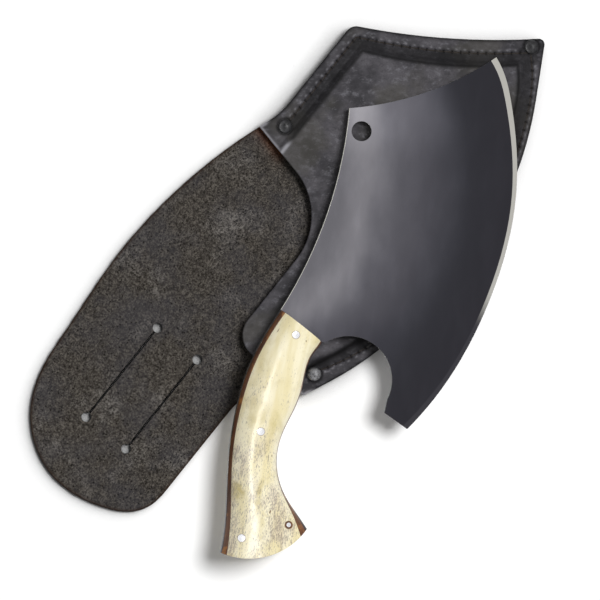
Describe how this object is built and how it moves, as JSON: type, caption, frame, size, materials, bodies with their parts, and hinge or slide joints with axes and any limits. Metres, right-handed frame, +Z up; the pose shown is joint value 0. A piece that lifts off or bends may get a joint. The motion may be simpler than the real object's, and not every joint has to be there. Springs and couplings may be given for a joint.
{
  "type": "chopping knife with pouch sheath",
  "caption": "Broad curved chopping knife with a finger notch, full tang and bone scales, resting on its stitched leather pouch sheath with a slit belt tongue.",
  "frame": {"origin": "centre of the whole object's box, on the surface it lies on, with the knife lying across its sheath", "axes": "+X along the belt slits towards the pouch, +Y towards the sheath's spine side, +Z up"},
  "size_m": [0.3432, 0.1784, 0.0422],
  "materials": {
    "blade_steel": "polished, dark reflections",
    "brown_fibre": "brown vulcanised fibre, rubbed smooth",
    "bone": "polished bone with fine dark pores",
    "pin_metal": "bright, ground flush",
    "flesh_leather": "rough flesh side, dark grey-brown",
    "grain_leather": "smooth grain side, near black",
    "thread": "waxed dark thread",
    "dark_rivet": "blackened",
    "bright_rivet": "worn to bare metal"
  },
  "bodies": {
    "sheath": {"back_panel": "flesh_leather", "welt": "flesh_leather", "front_panel": "grain_leather", "stitching_front": "thread", "stitching_back": "thread", "rivet_post_mouth": "dark_rivet", "rivet_cap_mouth": "dark_rivet", "rivet_post_point": "dark_rivet", "rivet_cap_point": "dark_rivet", "rivet_post_horn": "dark_rivet", "rivet_cap_horn": "bright_rivet"},
    "knife": {"blade": "blade_steel", "liner_upper": "brown_fibre", "liner_lower": "brown_fibre", "scale_upper": "bone", "scale_lower": "bone", "pin_front": "pin_metal", "pin_middle": "pin_metal", "pin_butt": "pin_metal", "pin_heel": "pin_metal", "pin_heel_collar": "brown_fibre"}
  },
  "joints": [
    {"name": "knife_lift", "type": "slide", "parent": "sheath", "child": "knife", "axis": [0, 0, 1], "range_m": [0, 0.15]}
  ]
}
